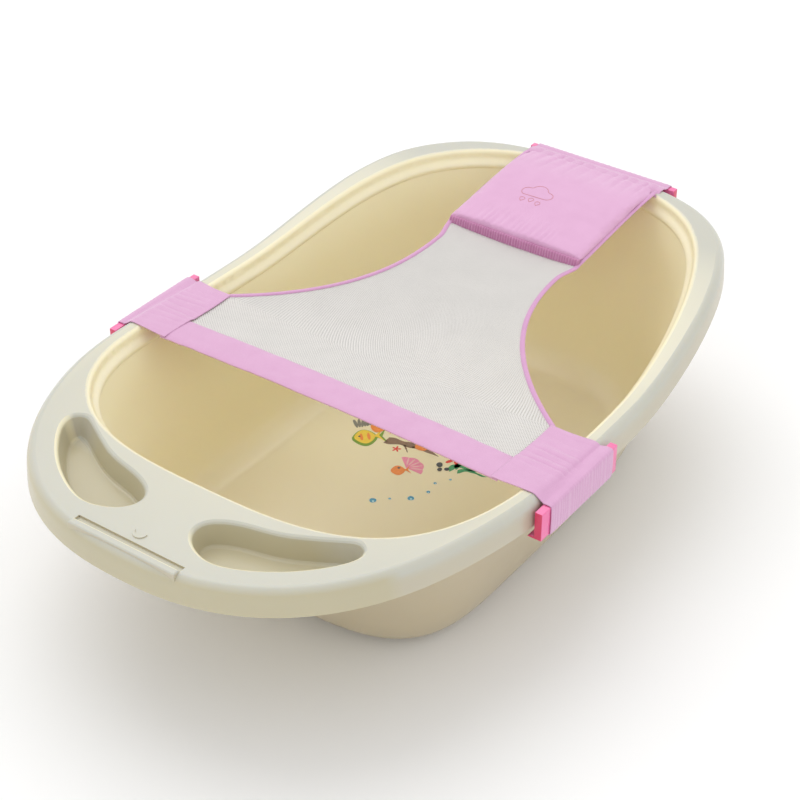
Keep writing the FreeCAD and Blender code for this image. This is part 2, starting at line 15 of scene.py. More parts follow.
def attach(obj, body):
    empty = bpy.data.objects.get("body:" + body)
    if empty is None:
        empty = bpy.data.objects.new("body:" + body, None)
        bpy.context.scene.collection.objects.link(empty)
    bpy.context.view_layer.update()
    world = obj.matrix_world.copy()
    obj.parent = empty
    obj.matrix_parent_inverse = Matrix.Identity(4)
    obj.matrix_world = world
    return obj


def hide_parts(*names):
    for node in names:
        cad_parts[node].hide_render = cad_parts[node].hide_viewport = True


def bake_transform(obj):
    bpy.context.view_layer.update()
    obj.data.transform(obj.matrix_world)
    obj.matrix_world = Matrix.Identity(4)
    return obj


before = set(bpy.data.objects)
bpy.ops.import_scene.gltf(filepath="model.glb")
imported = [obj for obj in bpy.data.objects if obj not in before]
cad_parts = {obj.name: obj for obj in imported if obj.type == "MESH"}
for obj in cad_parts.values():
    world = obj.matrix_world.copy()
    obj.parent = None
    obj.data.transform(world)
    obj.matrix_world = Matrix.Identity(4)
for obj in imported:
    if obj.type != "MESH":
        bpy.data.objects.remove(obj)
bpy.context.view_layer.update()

MM = 0.001
ROOT = "tub_and_net"
SHIFT = -4.8                   # row X = design X + SHIFT, for everything below

# Rim, as in the design: ovals are foot x, head x, widest x, half width, foot power, head power
RIM_HEIGHT, MID_DIP, HEAD_RISE = 202.0, 12.0, 27.0
DIP_X, RISE_X = (-230.0, 0.0), (50.0, 330.0)
EDGE_RUN, EDGE_DROP = 9.5, 14.0
RIM_OVAL = (-410.5, 411.0, -71.5, 257.2, 2.38, 3.38)
OPENING_OVAL = (-290.0, 393.0, -64.0, 235.0, 3.0, 2.9)
FLOOR_TOP = 4.0
CLOTH_LIFT = 0.7               # cloth above the plastic
CLOTH_THICK = 0.9
HEAD_TOP_X = 400.0             # where the rim's top at the head is measured

# Net
HEM_X = (-118.0, -78.0)
SEAM_Y = 206.0
NET_X = (-79.0, 228.0)
NET_CURVE_X = (-12.0, 200.0)   # where the side edges draw in
NET_END_FLARE, NET_END_X = 7.0, (196.0, 228.0)
NET_ABOVE_RIM = 0.4
NET_BELOW_HEAD = 14.0          # net under the rim's top at the head
NET_DROP, NET_DROP_X = 3.0, (-118.0, -20.0)
NET_CLIMB_X = (-60.0, 260.0)
SAG_GROWS_X, SAG_ENDS_X = (-80.0, 30.0), (60.0, 230.0)
SAG_TAKEN_UP = 0.75            # share of the sag that is gone at the pad
NET_NECK, NET_FLARE, NET_POWER = 76.0, 128.0, 2.4
NET_SAG, HEM_SAG = 12.0, 3.0
MESH_PITCH = 0.0016            # metres between the threads of the mesh
HEM_BOW = 8.0                  # the hem's middle is drawn this far towards the head

# Clips and sleeves
CLIP_X = (-131.0, 3.0)
SLEEVE_X = (-117.0, -7.0)
CLIP_THICK, CLIP_DROP, CLIP_TALL = 8.0, 3.5, 31.0
FOLD_OUT = 259.4               # distance of the side clips' fold lines from the middle
FOLD_HEAD_X = 412.2
SLEEVE_PUFF = 0.6

# Light
WORLD_LIGHT, SUN_LIGHT = 0.95, 0.75
SUN_TO = (-0.30, -0.42, -1.0)
SUN_SPREAD = 50.0              # degrees

# Camera, in metres and degrees
CAMERA_TARGET = (-0.0787, -0.0658, 0.202)
CAMERA_AZIMUTH, CAMERA_ELEVATION, CAMERA_DISTANCE = -54.1, 35.1, 1.89
CAMERA_LENS = 87.0

# Head pad
PILLOW_X = (231.5, 391.0)
PILLOW_HALF = 84.5
HEAD_HALF = 88.0


# ---------------------------------------------------------------- shapes of the design

def smoothstep(value, start, end):
    """Return 0 before start, 1 after end and a smooth rise between."""
    t = min(max((value - start) / (end - start), 0.0), 1.0)
    return t * t * (3.0 - 2.0 * t)


def rim_z(x):
    """Return the height of the rim's top at x."""
    dip = MID_DIP * smoothstep(x, *DIP_X)
    return RIM_HEIGHT - dip + (MID_DIP + HEAD_RISE) * smoothstep(x, *RISE_X)


def half_width(oval, x):
    """Return half the width of an oval at x."""
    foot, head, middle, half, foot_power, head_power = oval
    power = foot_power if x < middle else head_power
    reach = (middle - foot) if x < middle else (head - middle)
    return half * (1 - (abs(x - middle) / reach) ** power) ** (1 / power)


def net_width(x):
    """Return half the net's width at x."""
    start, end = NET_CURVE_X
    t = min(max((x - start) / (end - start), 0.0), 1.0)
    return NET_NECK + NET_FLARE * (1 - t) ** NET_POWER + NET_END_FLARE * smoothstep(x, *NET_END_X)


def net_edge_z(x):
    """Return the height of the net's side edges at x."""
    level = rim_z(sum(CLIP_X) / 2) + NET_ABOVE_RIM
    climb = rim_z(HEAD_TOP_X) - NET_BELOW_HEAD - level
    return level - NET_DROP * smoothstep(x, *NET_DROP_X) + climb * smoothstep(x, *NET_CLIMB_X)


def net_z(x, share):
    """Return the net's height at x, for a share of the half width."""
    depth = HEM_SAG + (NET_SAG - HEM_SAG) * smoothstep(x, *SAG_GROWS_X)
    depth -= NET_SAG * SAG_TAKEN_UP * smoothstep(x, *SAG_ENDS_X)
    return net_edge_z(x) - depth * (1.0 - share * share)


def wrinkle(x, y, size, seed):
    """Return soft noise between about -1 and 1 at a place on cloth."""
    return noise.noise(Vector((x / size, y / size, seed)))


# ---------------------------------------------------------------- mesh helpers

def link(name, mesh):
    """Make an object for a mesh and put it in the scene."""
    piece = bpy.data.objects.new(name, mesh)
    bpy.context.scene.collection.objects.link(piece)
    return piece


def smooth(mesh):
    """Shade a mesh smooth."""
    mesh.polygons.foreach_set("use_smooth", [True] * len(mesh.polygons))
    mesh.update()


def grid_mesh(name, rows, closed=False):
    """Return an object from rows of points, with a UV map in metres along the cloth."""
    count = len(rows[0])
    points = [Vector(p) * MM for row in rows for p in row]
    faces = []
    last = count if closed else count - 1
    for i in range(len(rows) - 1):
        for j in range(last):
            a, b = i * count + j, i * count + (j + 1) % count
            faces.append((a, b, b + count, a + count))
    mesh = bpy.data.meshes.new(name)
    mesh.from_pydata(points, [], faces)
    across = [0.0]
    middle = rows[len(rows) // 2]
    for p, q in zip(middle, middle[1:]):
        across.append(across[-1] + (Vector(q) - Vector(p)).length * MM)
    along = [0.0]
    for p, q in zip(rows, rows[1:]):
        step = Vector(q[count // 2]) - Vector(p[count // 2])
        along.append(along[-1] + step.length * MM)
    layer = mesh.uv_layers.new(name="cloth")
    for loop in mesh.loops:
        i, j = divmod(loop.vertex_index, count)
        layer.data[loop.index].uv = (across[j], along[i])
    smooth(mesh)
    return link(name, mesh)


def flatten(piece):
    """Replace a piece's mesh by what its modifiers make of it."""
    graph = bpy.context.evaluated_depsgraph_get()
    mesh = bpy.data.meshes.new_from_object(piece.evaluated_get(graph), depsgraph=graph)
    piece.modifiers.clear()
    piece.data = mesh
    return piece


def thicken(piece, thickness, offset=-1.0, levels=0, bevel=0.0):
    """Give a sheet its thickness, with rounded rims, and apply it."""
    solid = piece.modifiers.new("thickness", "SOLIDIFY")
    solid.thickness = thickness * MM
    solid.offset = offset
    solid.use_even_offset = True
    if bevel:
        edge = piece.modifiers.new("edge", "BEVEL")
        edge.width = bevel * MM
        edge.segments = 2
        edge.angle_limit = math.radians(60)
    if levels:
        piece.modifiers.new("soften", "SUBSURF").levels = levels
        piece.modifiers["soften"].render_levels = levels
    return flatten(piece)


def finish_piece(piece, material, body=None):
    """Give a piece its material, and let it ride on a body."""
    piece.data.materials.clear()
    piece.data.materials.append(material)
    if body:
        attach(piece, body)
    return piece


# ---------------------------------------------------------------- materials

def node(tree, kind, inputs=None, **settings):
    """Add a shader node, set its values and return it."""
    made = tree.nodes.new("ShaderNode" + kind)
    for key, value in settings.items():
        setattr(made, key, value)
    for key, value in (inputs or {}).items():
        if isinstance(value, bpy.types.NodeSocket):
            tree.links.new(value, made.inputs[key])
        else:
            made.inputs[key].default_value = value
    return made


def start_material(name, **values):
    """Return a material, its tree and its principled shader with the values set."""
    made = bpy.data.materials.new(name)
    made.use_nodes = True
    tree = made.node_tree
    shader = tree.nodes["Principled BSDF"]
    for key, value in values.items():
        shader.inputs[key.replace("_", " ").capitalize()].default_value = value
    return made, tree, shader


def set_input(shader, name, value):
    """Set one of the principled shader's own sockets."""
    shader.inputs[name].default_value = value


def bump(tree, shader, height, strength, distance):
    """Join a height to the shader as bump."""
    made = node(tree, "Bump", {"Height": height, "Strength": strength, "Distance": distance})
    tree.links.new(made.outputs["Normal"], shader.inputs["Normal"])
    return made


def mix_colour(tree, factor, low, high):
    """Return a colour output that mixes two colours by a factor."""
    made = node(tree, "Mix", data_type="RGBA")
    tree.links.new(factor, made.inputs["Factor"])
    for index, value in ((6, low), (7, high)):
        if isinstance(value, bpy.types.NodeSocket):
            tree.links.new(value, made.inputs[index])
        else:
            made.inputs[index].default_value = (*value, 1.0)
    return made.outputs[2]


def noise_factor(tree, coordinate, scale, detail=3.0):
    """Return a noise output."""
    made = node(tree, "TexNoise", {"Vector": coordinate, "Scale": scale, "Detail": detail})
    return made.outputs["Fac"]


def ramp(tree, value, low, high):
    """Return a value mapped from low..high to 0..1."""
    made = node(tree, "MapRange", {"Value": value, "From Min": low, "From Max": high})
    return made.outputs["Result"]


def tub_material():
    """Glossy ivory polypropylene with painted light: warmer and brighter facing into the basin, painted
    shade facing down or sideways and low at the foot end.
    """
    made, tree, shader = start_material("ivory_plastic", Roughness=0.34)
    set_input(shader, "Coat Weight", 0.25)
    set_input(shader, "Coat Roughness", 0.22)
    set_input(shader, "Subsurface Weight", 0.12)
    set_input(shader, "Subsurface Radius", (0.02, 0.014, 0.006))
    set_input(shader, "Subsurface Scale", 0.5)
    place = node(tree, "TexCoord").outputs["Object"]
    centre = node(tree, "VectorMath", {1: place}, operation="SUBTRACT")
    centre.inputs[0].default_value = (0.01, 0.0, 0.30)
    unit = node(tree, "VectorMath", {0: centre.outputs[0]}, operation="NORMALIZE")
    facing = node(tree, "NewGeometry").outputs["Normal"]
    inward = node(tree, "VectorMath", {0: unit.outputs[0], 1: facing}, operation="DOT_PRODUCT")
    # Painted light: faces turned in towards the basin's middle get a brighter, warmer colour, as if lit
    # and glowing from within.
    painted_glow_mask = ramp(tree, inward.outputs["Value"], 0.22, 0.75)
    cloudy = noise_factor(tree, place, 9.0)
    # Painted shade: the rim colour is the lit top, and faces turned sideways or down take a darker,
    # browner shaded colour.
    rim = mix_colour(tree, cloudy, (0.53, 0.53, 0.46), (0.56, 0.555, 0.485))
    painted_basin_light = mix_colour(tree, cloudy, (0.94, 0.85, 0.585), (0.97, 0.89, 0.63))
    painted_side_shade = mix_colour(tree, cloudy, (0.50, 0.43, 0.29), (0.54, 0.465, 0.315))
    upright = node(tree, "SeparateXYZ", {"Vector": facing}).outputs["Z"]
    lit_and_shaded_skin = mix_colour(tree, ramp(tree, upright, 0.45, -0.25), rim, painted_side_shade)
    with_painted_basin_light = mix_colour(tree, painted_glow_mask, lit_and_shaded_skin, painted_basin_light)
    axes = node(tree, "SeparateXYZ", {"Vector": place})
    # Painted shade: below the deck's height at the foot end, in the trays and on the skirt there, the
    # colour turns darker and yellower.
    low = ramp(tree, axes.outputs["Z"], 0.2015, 0.196)
    foot = ramp(tree, axes.outputs["X"], -0.285, -0.300)
    painted_recess_shade_mask = node(tree, "Math", {0: low, 1: foot}, operation="MULTIPLY").outputs[0]
    shade = mix_colour(tree, cloudy, (0.50, 0.455, 0.31), (0.54, 0.495, 0.34))
    tree.links.new(mix_colour(tree, painted_recess_shade_mask, with_painted_basin_light, shade), shader.inputs["Base Color"])
    grain = noise_factor(tree, place, 900.0, 2.0)
    worn = noise_factor(tree, place, 30.0)
    rough = node(tree, "MapRange", {"Value": worn, "To Min": 0.27, "To Max": 0.42})
    tree.links.new(rough.outputs["Result"], shader.inputs["Roughness"])
    bump(tree, shader, grain, 0.08, 0.0004)
    return made


def clip_material(name, painted_shade_axis):
    """Glossy hot pink plastic with faint moulding haze, and painted shade: a deeper red on the faces
    turned along one axis, the clip's ends.
    """
    made, tree, shader = start_material(name)
    set_input(shader, "Coat Weight", 0.3)
    set_input(shader, "Subsurface Weight", 0.1)
    set_input(shader, "Subsurface Radius", (0.006, 0.002, 0.002))
    place = node(tree, "TexCoord").outputs["Object"]
    cloudy = noise_factor(tree, place, 60.0)
    side = mix_colour(tree, cloudy, (0.84, 0.14, 0.36), (0.90, 0.20, 0.44))
    # Painted shade: the faces turned along the given axis, the clip's ends, get a darker red.
    end = mix_colour(tree, cloudy, (0.66, 0.03, 0.11), (0.72, 0.05, 0.14))
    facing = node(tree, "SeparateXYZ", {"Vector": node(tree, "TexCoord").outputs["Normal"]})
    painted_end_shade_mask = node(tree, "Math", {0: facing.outputs[painted_shade_axis]}, operation="ABSOLUTE").outputs[0]
    colour = mix_colour(tree, ramp(tree, painted_end_shade_mask, 0.75, 0.95), side, end)
    tree.links.new(colour, shader.inputs["Base Color"])
    rough = node(tree, "MapRange", {"Value": cloudy, "To Min": 0.24, "To Max": 0.40})
    tree.links.new(rough.outputs["Result"], shader.inputs["Roughness"])
    bump(tree, shader, noise_factor(tree, place, 1500.0), 0.08, 0.0003)
    return made


def woven_material(name, low, high, pitch, depth, roughness=0.72):
    """Plain woven cloth: crossing threads, uneven dye and a soft sheen."""
    made, tree, shader = start_material(name, Roughness=roughness)
    set_input(shader, "Sheen Weight", 0.45)
    set_input(shader, "Sheen Roughness", 0.45)
    set_input(shader, "Specular IOR Level", 0.35)
    flat = node(tree, "UVMap", uv_map="cloth").outputs["UV"]
    place = node(tree, "TexCoord").outputs["Object"]
    scale = 0.31 / (pitch * MM)
    threads = []
    for direction in ("X", "Y"):
        wave = node(tree, "TexWave", {"Vector": flat, "Scale": scale, "Distortion": 0.6, "Detail": 1.0,
                                      "Detail Scale": 2.0}, bands_direction=direction)
        threads.append(wave.outputs["Fac"])
    weave = node(tree, "Math", {0: threads[0], 1: threads[1]}, operation="MAXIMUM").outputs[0]
    patchy = noise_factor(tree, place, 55.0, 5.0)
    colour = mix_colour(tree, patchy, low, high)
    shade = node(tree, "MapRange", {"Value": weave, "To Min": 0.86, "To Max": 1.0})
    tinted = node(tree, "Mix", data_type="RGBA", blend_type="MULTIPLY")
    tinted.inputs["Factor"].default_value = 1.0
    tree.links.new(colour, tinted.inputs[6])
    tree.links.new(shade.outputs["Result"], tinted.inputs[7])
    tree.links.new(tinted.outputs[2], shader.inputs["Base Color"])
    bump(tree, shader, weave, 0.35, depth * MM)
    return made


def mesh_material():
    """Fine knitted mesh: a diamond net of threads with small holes between them."""
    made, tree, shader = start_material("white_mesh", Roughness=0.8)
    set_input(shader, "Sheen Weight", 0.3)
    flat = node(tree, "UVMap", uv_map="cloth").outputs["UV"]
    place = node(tree, "TexCoord").outputs["Object"]
    threads = []
    for angle in (32, -32):
        turned = node(tree, "Mapping", {"Vector": flat})
        turned.inputs["Rotation"].default_value = (0.0, 0.0, math.radians(angle))
        wave = node(tree, "TexWave", {"Vector": turned.outputs[0], "Scale": 0.31 / MESH_PITCH,
                                      "Distortion": 0.5, "Detail": 0.0})
        threads.append(wave.outputs["Fac"])
    net = node(tree, "Math", {0: threads[0], 1: threads[1]}, operation="MAXIMUM").outputs[0]
    solid = node(tree, "MapRange", {"Value": net, "From Min": 0.22, "From Max": 0.42, "To Min": 0.12})
    tree.links.new(solid.outputs["Result"], shader.inputs["Alpha"])
    patchy = noise_factor(tree, place, 30.0, 4.0)
    colour = mix_colour(tree, patchy, (0.70, 0.68, 0.65), (0.78, 0.755, 0.725))
    tree.links.new(colour, shader.inputs["Base Color"])
    bump(tree, shader, net, 0.6, 0.0005)
    return made


def rubber_material(name, low, high):
    """Matte rubber with a fine grain."""
    made, tree, shader = start_material(name, Roughness=0.75)
    place = node(tree, "TexCoord").outputs["Object"]
    grain = noise_factor(tree, place, 700.0, 4.0)
    tree.links.new(mix_colour(tree, grain, low, high), shader.inputs["Base Color"])
    bump(tree, shader, grain, 0.3, 0.0004)
    return made


def print_material(name, colour):
    """Printed ink: a thin semi-gloss film with slightly uneven cover."""
    made, tree, shader = start_material("ink_" + name, Roughness=0.4)
    place = node(tree, "TexCoord").outputs["Object"]
    cover = noise_factor(tree, place, 260.0, 3.0)
    paler = tuple(min(c * 1.25 + 0.04, 1.0) for c in colour)
    tree.links.new(mix_colour(tree, cover, colour, paler), shader.inputs["Base Color"])
    return made


IVORY = tub_material()
SIDE_CLIP = clip_material("side_clip_plastic", "X")
HEAD_CLIP = clip_material("head_clip_plastic", "Y")
PINK = woven_material("pink_cloth", (0.68, 0.37, 0.58), (0.75, 0.43, 0.65), 0.55, 0.12)
TAPE = woven_material("binding_tape", (0.65, 0.32, 0.56), (0.72, 0.38, 0.62), 0.5, 0.1)
RUFFLE = woven_material("gathered_seam", (0.52, 0.20, 0.38), (0.62, 0.28, 0.48), 0.5, 0.1)
THREAD = woven_material("sewing_thread", (0.72, 0.42, 0.66), (0.80, 0.52, 0.75), 0.3, 0.05)
SALMON = woven_material("salmon_thread", (0.72, 0.24, 0.25), (0.80, 0.32, 0.30), 0.3, 0.05)
WHITE_MESH = mesh_material()
GREY_RUBBER = rubber_material("grey_rubber", (0.25, 0.25, 0.24), (0.33, 0.33, 0.31))
CREAM_RUBBER = rubber_material("cream_rubber", (0.66, 0.62, 0.50), (0.73, 0.69, 0.57))


# ---------------------------------------------------------------- plastic and rubber parts

def dress_node(name, material):
    """Give a CAD node its material."""
    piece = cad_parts[name]
    piece.data.materials.clear()
    piece.data.materials.append(material)


def rounded_copy(node_name, width, material, body):
    """Replace a CAD node by the same form with its sharp edges rounded."""
    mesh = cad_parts[node_name].data.copy()
    work = bmesh.new()
    work.from_mesh(mesh)
    bmesh.ops.remove_doubles(work, verts=work.verts, dist=0.00001)
    bmesh.ops.dissolve_limit(work, angle_limit=math.radians(1), verts=work.verts, edges=work.edges)
    work.to_mesh(mesh)
    work.free()
    piece = link(node_name + "_moulded", mesh)
    edge = piece.modifiers.new("rounding", "BEVEL")
    edge.width = width * MM
    edge.segments = 3
    edge.angle_limit = math.radians(30)
    flatten(piece)
    smooth(piece.data)
    piece.data.set_sharp_from_angle(angle=math.radians(40))
    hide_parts(node_name)
    return finish_piece(piece, material, body)


def make_hard_parts():
    """Dress the tub and the pads, and round the clips, the drain seat and the plug."""
    dress_node("tub_shell", IVORY)
    for side in ("left", "right", "head"):
        plastic = HEAD_CLIP if side == "head" else SIDE_CLIP
        rounded_copy("clip_" + side, 0.8, plastic, side + "_clip")
    rounded_copy("drain_seat", 0.3, IVORY, ROOT)
    rounded_copy("drain_plug", 0.5, CREAM_RUBBER, "plug")
    for end in ("foot", "head"):
        for side in ("left", "right"):
            dress_node("pad_%s_%s" % (end, side), GREY_RUBBER)


# ---------------------------------------------------------------- stitches

def ball():
    """Return the vertices and faces of a small ball of radius 1."""
    work = bmesh.new()
    bmesh.ops.create_icosphere(work, subdivisions=1, radius=1.0)
    vertices = [v.co.copy() for v in work.verts]
    faces = [[v.index for v in face.verts] for face in work.faces]
    work.free()
    return vertices, faces


BALL_VERTICES, BALL_FACES = ball()


def stitch_row(name, points, gap, body, material=None, radius=0.28, length=2.0):
    """Make a row of sewing stitches along points in millimetres."""
    vertices, faces = [], []
    travelled = 0.0
    due = gap / 2
    for a, b in zip(points, points[1:]):
        start, end = Vector(a), Vector(b)
        span = (end - start).length
        if span < 1e-6:
            continue
        direction = (end - start).normalized()
        turn = direction.to_track_quat("Z", "Y").to_matrix()
        shape = turn @ Matrix.Diagonal((radius, radius, length / 2))
        while travelled + span > due:
            place = start + direction * (due - travelled)
            first = len(vertices)
            vertices.extend((place + shape @ corner) * MM for corner in BALL_VERTICES)
            faces.extend([first + index for index in face] for face in BALL_FACES)
            due += gap
        travelled += span
    mesh = bpy.data.meshes.new(name)
    mesh.from_pydata(vertices, [], faces)
    smooth(mesh)
    return finish_piece(link(name, mesh), material or THREAD, body)


# ---------------------------------------------------------------- the net

def make_net_mesh():
    """The knitted mesh panel, slack between its bound edges."""
    rows = []
    for i in range(121):
        x = NET_X[0] + (NET_X[1] - NET_X[0]) * i / 120
        width = net_width(x) - 0.6 if x > NET_CURVE_X[0] else SEAM_Y - 1.0
        row = []
        for j in range(121):
            share = -1 + 2 * j / 120
            y = share * width
            bow = HEM_BOW * (1 - share * share) * (1 - smoothstep(x, NET_X[0], 60.0))
            ripple = 0.55 * wrinkle(x, y, 38.0, 3.0) * (1 - share ** 4)
            row.append((x + SHIFT + bow, y, net_z(x, share) + 0.7 + ripple))
        rows.append(row)
    piece = thicken(grid_mesh("net_mesh_cloth", rows), 0.5, 0.0)
    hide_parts("net_mesh")
    finish_piece(piece, WHITE_MESH, ROOT)
    return piece


def make_hem():
    """The folded pink band across the front edge, with its two rows of stitches."""
    rows = []
    for i in range(15):
        t = i / 14
        x = HEM_X[0] + (HEM_X[1] - HEM_X[0]) * t
        row = []
        for j in range(201):
            share = -1 + 2 * j / 200
            y = share * (SEAM_Y + 3.0)
            round_edge = 1.1 * (2 * t - 1) ** 6
            ripple = 0.7 * wrinkle(x * 1.6, y, 26.0, 8.0) + 0.35 * wrinkle(x, y, 9.0, 5.0)
            bow = HEM_BOW * (1 - share * share)
            row.append((x + SHIFT + bow, y, net_z(x, share) + 1.7 - round_edge + ripple))
        rows.append(row)
    piece = thicken(grid_mesh("hem_band_cloth", rows), 1.8, -1.0, bevel=0.5)
    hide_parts("hem_band")
    finish_piece(piece, PINK, ROOT)
    seams = []
    for place, inset in (("front", 0.1), ("back", 0.88)):
        i = round(14 * inset)
        line = [(p[0], p[1], p[2] + 0.15) for p in rows[i]]
        seams.append(stitch_row("hem_stitches_" + place, line, 3.6, ROOT))
    return piece, seams


def binding_centre(x):
    """Return the width and height of the binding's middle at x, along the net and then the pad."""
    if x < NET_X[1]:
        width = net_width(max(x, NET_CURVE_X[0]))
    else:
        width = PILLOW_HALF - 1.5 * (1 - smoothstep(x, NET_X[1], NET_X[1] + 8.0))
    on_pad = smoothstep(x, NET_X[1] - 6.0, NET_X[1] + 10.0)
    net_height = net_edge_z(min(x, NET_X[1])) + 0.8
    return width, net_height + (pillow_low_z(x) + 2.2 - net_height) * on_pad


def make_binding(side, name):
    """The folded tape round one edge of the net and the pad, with its stitches."""
    rows = []
    line = []
    steps, around = 260, 16
    start, end = -16.0, PILLOW_X[1] - 2.0
    for i in range(steps + 1):
        x = start + (end - start) * i / steps
        width, height = binding_centre(x)
        slope = binding_centre(x + 1.0)[0] - width if x > NET_CURVE_X[0] else -1.6
        out = Vector((-slope, 1.0, 0.0)).normalized()
        centre = Vector((x, width, height))
        section = []
        for k in range(around):
            angle = 2 * math.pi * k / around
            pucker = 1 + 0.10 * noise.noise(Vector((i * 0.55, k * 0.3, 2.0)))
            u = 2.7 * math.cos(angle) * pucker
            v = 1.15 * math.sin(angle) * pucker
            section.append((centre.x + out.x * u + SHIFT, side * (centre.y + out.y * u), centre.z + v))
        rows.append(section)
        inner = centre - out * 1.5
        line.append((inner.x + SHIFT, side * inner.y, inner.z + 1.05))
    piece = grid_mesh("binding_%s_tape" % name, rows, closed=True)
    close_ends(piece, around)
    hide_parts("binding_" + name)
    finish_piece(piece, TAPE, ROOT)
    return piece, stitch_row("binding_%s_stitches" % name, line, 3.0, ROOT)


def close_ends(piece, count):
    """Close both ends of a tube made of rings."""
    work = bmesh.new()
    work.from_mesh(piece.data)
    work.verts.ensure_lookup_table()
    work.faces.new(work.verts[:count][::-1])
    work.faces.new(work.verts[-count:])
    work.to_mesh(piece.data)
    work.free()


# ---------------------------------------------------------------- bands over the rim

def sleeve_path(fold_out, fold_z):
    """Return (out, up) points round a clip from its fold line to under its lip."""
    puff = SLEEVE_PUFF
    out = fold_out + CLIP_THICK + puff
    low = fold_z - CLIP_TALL - puff
    corner = 1.4
    path = [(fold_out + 0.3, fold_z + puff), (fold_out + 3.0, fold_z + puff + 0.5),
            (out - corner, fold_z + puff + 0.1)]
    for degrees in (30, 60, 90):
        angle = math.radians(degrees)
        path.append((out - corner + corner * math.sin(angle),
                     fold_z + puff - corner + corner * math.cos(angle)))
    for step in range(1, 8):
        path.append((out + 0.35 * math.sin(math.pi * step / 8), fold_z - (fold_z - low) * step / 8))
    for degrees in (0, 45, 90):
        angle = math.radians(degrees)
        path.append((out - corner + corner * math.cos(angle), low + corner - corner * math.sin(angle)))
    path += [(fold_out + 2.0, low), (fold_out - 3.5, low)]
    return path


def band_path(x):
    """Return (out, up) points of a side band at x, from the mesh's seam round the clip."""
    inner = half_width(OPENING_OVAL, x)
    outer = half_width(RIM_OVAL, x)
    top = rim_z(x) + CLOTH_LIFT
    start = SEAM_Y - 4.0
    seam = net_edge_z(x) + 1.6 + 1.5 * (1 - smoothstep(x, HEM_X[1], HEM_X[1] + 8.0))
    path = []
    for step in range(8):
        t = step / 8
        path.append((start + (inner + 2.0 - start) * t, seam + (top - seam) * smoothstep(t, 0.0, 1.0)))
    path.append((inner + 3.0, top))
    for degrees in (0, 12, 25, 38):
        angle = math.radians(degrees)
        path.append((outer - EDGE_RUN + (EDGE_RUN + CLOTH_LIFT) * math.sin(angle),
                     rim_z(x) - EDGE_DROP + (EDGE_DROP + CLOTH_LIFT) * math.cos(angle)))
    return path


def resample(path, count):
    """Return evenly spaced points along a path, and how far along each lies."""
    points = np.array(path, float)
    lengths = np.concatenate([[0.0], np.cumsum(np.linalg.norm(np.diff(points, axis=0), axis=1))])
    targets = np.linspace(0.0, lengths[-1], count)
    columns = [np.interp(targets, lengths, points[:, k]) for k in range(points.shape[1])]
    return np.stack(columns, axis=1)


def pleats(along, spread, seed):
    """Return the height of narrow folds, 0 to about 1, at a place along the cloth."""
    drift = 2.5 * wrinkle(along, spread, 45.0, seed)
    fold = abs(math.sin(along * 0.26 + drift)) ** 0.7
    strong = 0.35 + 0.9 * abs(wrinkle(along, spread * 0.2, 24.0, seed + 3.0))
    return fold * strong


def make_side_band(side, name):
    """One side's cloth: from the mesh's seam over the rim and round the clip."""
    fold_z = rim_z(sum(CLIP_X) / 2) - CLIP_DROP
    columns, steps, seam_left, seam_right = 130, 84, HEM_X[0], NET_CURVE_X[0]
    on_clip = FOLD_OUT - 1.0
    rows = []
    for j in range(columns + 1):
        t = j / columns
        x_seam = seam_left + (seam_right - seam_left) * t
        x_clip = SLEEVE_X[0] + (SLEEVE_X[1] - SLEEVE_X[0]) * t
        path = resample(band_path(x_seam) + sleeve_path(FOLD_OUT, fold_z), steps)
        edge = smoothstep(t, 0.0, 0.08) * smoothstep(1 - t, 0.0, 0.06)
        row = []
        wrapped = False
        for out, up in path:
            wrapped = wrapped or out > on_clip
            reach = 1.0 if wrapped else smoothstep(out, SEAM_Y, on_clip)
            x = x_seam + (x_clip - x_seam) * reach
            if wrapped:
                out += edge * (0.22 * math.sin(x * 1.3 + 5.0 * wrinkle(x, 0.0, 12.0, 5.0)) + 0.2)
            else:
                past_seam = smoothstep(out, SEAM_Y - 1.0, SEAM_Y + 12.0)
                loose = past_seam * (1 - smoothstep(out, 252.0, on_clip))
                loose += 0.35 * (1 - past_seam)
                soft = 0.5 + 0.5 * wrinkle(x, out, 16.0, 6.0 + side)
                gathered = 0.3 + 1.6 * smoothstep(t, 0.2, 0.5) * (1 - smoothstep(t, 0.6, 0.85))
                up += edge * loose * (gathered * pleats(x * 1.2, out, side + 4.0) + 0.8 * soft)
            row.append((x + SHIFT, side * out, up))
        rows.append(row)
    if side > 0:
        rows.reverse()
    piece = thicken(grid_mesh("side_band_%s_cloth" % name, rows), CLOTH_THICK, 1.0)
    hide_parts("side_band_" + name, "clip_sleeve_" + name)
    finish_piece(piece, PINK)
    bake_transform(piece)
    return piece


